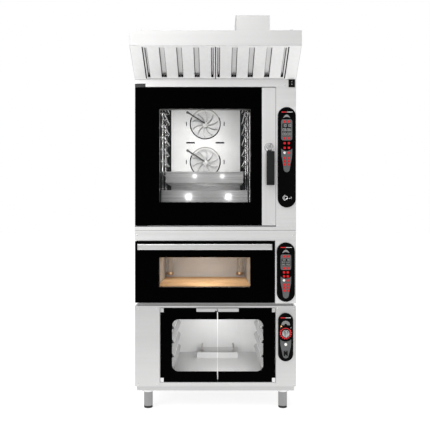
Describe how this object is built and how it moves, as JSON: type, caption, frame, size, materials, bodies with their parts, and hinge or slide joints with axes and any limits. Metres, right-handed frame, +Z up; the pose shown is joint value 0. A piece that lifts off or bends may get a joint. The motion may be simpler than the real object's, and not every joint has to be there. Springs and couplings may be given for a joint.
{
  "type": "combi steamer oven",
  "caption": "Stacked baker's tower: prover with glass doors, stone deck oven, convection steam oven and extraction hood on legs, with hinged doors.",
  "frame": {"origin": "on the floor under the middle of the bounding box", "axes": "+Z up, the front faces -Y, +X to the viewer's right from the front"},
  "size_m": [0.92, 1.03, 2.317],
  "materials": {
    "brushed steel": "satin, grained",
    "polished steel": "polished",
    "liner steel": "bright",
    "dark glass": "gloss, with a black painted border",
    "clear glass": "clear",
    "black enamel": "satin",
    "black gloss": "gloss",
    "black rubber": "matt",
    "grey inlay": "satin",
    "red key": "satin",
    "white button": "satin",
    "dark grip": "satin, fine grain",
    "fired stone": "matt",
    "mineral wool": "matt",
    "heater steel": "heat-stained",
    "motor black": "satin",
    "fan aluminium": "cast"
  },
  "bodies": {
    "tower": {"legs": "brushed steel", "prover_casing": "brushed steel", "prover_front_frame": "brushed steel", "prover_cavity": "liner steel", "prover_tray_guides": "liner steel", "prover_water_tray": "liner steel", "deck_casing": "brushed steel", "deck_front_frame": "brushed steel", "deck_cavity": "liner steel", "deck_stone": "fired stone", "combi_casing": "brushed steel", "combi_front_frame": "brushed steel", "combi_cavity": "liner steel", "combi_fan_baffle": "liner steel", "combi_fan_motors": "motor black", "combi_steam_pipes": "polished steel", "combi_tray_racks": "polished steel", "combi_pans": "liner steel", "door_hinge_brackets": "polished steel", "door_gaskets": "black rubber", "insulation": "mineral wool", "heating_elements": "heater steel", "oven_lamps": "clear glass", "combi_control_panel": "black gloss", "deck_control_panel": "black gloss", "prover_control_panel": "black gloss", "panel_inlays": "grey inlay", "keypad_keys": "red key", "hood_shell": "brushed steel", "hood_filter_frame": "brushed steel", "hood_duct": "brushed steel", "hood_fan_motor": "motor black", "hood_switch_housing": "black gloss", "rear_fittings": "polished steel", "fasteners": "polished steel"},
    "combi_door": {"combi_door_core": "black enamel", "combi_door_glass": "dark glass", "combi_door_stile": "brushed steel"},
    "combi_handle": {"combi_handle_boss": "polished steel", "combi_handle_grip": "dark grip"},
    "fan_upper": {"combi_fan_upper": "fan aluminium"},
    "fan_lower": {"combi_fan_lower": "fan aluminium"},
    "filter_left": {"hood_filter_left": "brushed steel"},
    "filter_right": {"hood_filter_right": "brushed steel"},
    "hood_wheel": {"hood_fan_wheel": "fan aluminium"},
    "hood_rocker": {"hood_switch_rocker": "black gloss"},
    "combi_power": {"combi_power_button": "white button"},
    "deck_power": {"deck_power_button": "white button"},
    "prover_light": {"prover_light_button": "white button"},
    "deck_door": {"deck_door_core": "black enamel", "deck_door_glass": "dark glass", "deck_door_handle": "brushed steel"},
    "prover_left_door": {"prover_left_door_glass": "clear glass", "prover_left_door_fittings": "polished steel"},
    "prover_right_door": {"prover_right_door_glass": "clear glass", "prover_right_door_fittings": "polished steel"},
    "knob": {"prover_knob": "black gloss"},
    "light_rocker": {"prover_rocker": "black gloss"},
    "feet": {"levelling_feet": "black rubber"}
  },
  "joints": [
    {"name": "combi_door_hinge", "type": "hinge", "parent": "tower", "child": "combi_door", "pos_m": [-0.445, -0.28, 1.45], "axis": [0, 0, -1], "range_deg": [0, 120]},
    {"name": "combi_handle_turn", "type": "hinge", "parent": "combi_door", "child": "combi_handle", "pos_m": [0.305, -0.295, 1.5], "axis": [0, 1, 0], "range_deg": [0, 90]},
    {"name": "combi_fan_upper_spin", "type": "hinge", "parent": "tower", "child": "fan_upper", "pos_m": [-0.068, 0.318, 1.724], "axis": [0, 1, 0], "continuous": true},
    {"name": "combi_fan_lower_spin", "type": "hinge", "parent": "tower", "child": "fan_lower", "pos_m": [-0.068, 0.318, 1.47], "axis": [0, 1, 0], "continuous": true},
    {"name": "filter_left_pull", "type": "slide", "parent": "tower", "child": "filter_left", "axis": [0, -0.5116, -0.8592], "range_m": [0, 0.05]},
    {"name": "filter_right_pull", "type": "slide", "parent": "tower", "child": "filter_right", "axis": [0, -0.5116, -0.8592], "range_m": [0, 0.05]},
    {"name": "hood_wheel_spin", "type": "hinge", "parent": "tower", "child": "hood_wheel", "pos_m": [0.226, -0.019, 2.01], "axis": [0, 0, 1], "continuous": true},
    {"name": "hood_rocker_tilt", "type": "hinge", "parent": "tower", "child": "hood_rocker", "pos_m": [0.435, -0.297, 1.8675], "axis": [1, 0, 0], "range_deg": [-7, 7]},
    {"name": "combi_power_press", "type": "slide", "parent": "tower", "child": "combi_power", "axis": [0, 1, 0], "range_m": [0, 0.0015], "stiffness_N_per_m": 400},
    {"name": "deck_power_press", "type": "slide", "parent": "tower", "child": "deck_power", "axis": [0, 1, 0], "range_m": [0, 0.0015], "stiffness_N_per_m": 400},
    {"name": "prover_light_press", "type": "slide", "parent": "tower", "child": "prover_light", "axis": [0, 1, 0], "range_m": [0, 0.0015], "stiffness_N_per_m": 400},
    {"name": "deck_door_hinge", "type": "hinge", "parent": "tower", "child": "deck_door", "pos_m": [-0.06, -0.278, 0.622], "axis": [1, 0, 0], "range_deg": [0, 80]},
    {"name": "prover_left_door_hinge", "type": "hinge", "parent": "tower", "child": "prover_left_door", "pos_m": [-0.3052, -0.292, 0.374], "axis": [0, 0, -1], "range_deg": [0, 110]},
    {"name": "prover_right_door_hinge", "type": "hinge", "parent": "tower", "child": "prover_right_door", "pos_m": [0.332, -0.292, 0.374], "axis": [0, 0, 1], "range_deg": [0, 110]},
    {"name": "prover_knob_turn", "type": "hinge", "parent": "tower", "child": "knob", "pos_m": [0.4, -0.315, 0.4425], "axis": [0, 1, 0], "range_deg": [0, 270]},
    {"name": "prover_rocker_tilt", "type": "hinge", "parent": "tower", "child": "light_rocker", "pos_m": [0.4, -0.3005, 0.328], "axis": [1, 0, 0], "range_deg": [-7, 7]},
    {"name": "feet_adjust", "type": "slide", "parent": "tower", "child": "feet", "axis": [0, 0, 1], "range_m": [-0.03, 0]}
  ]
}
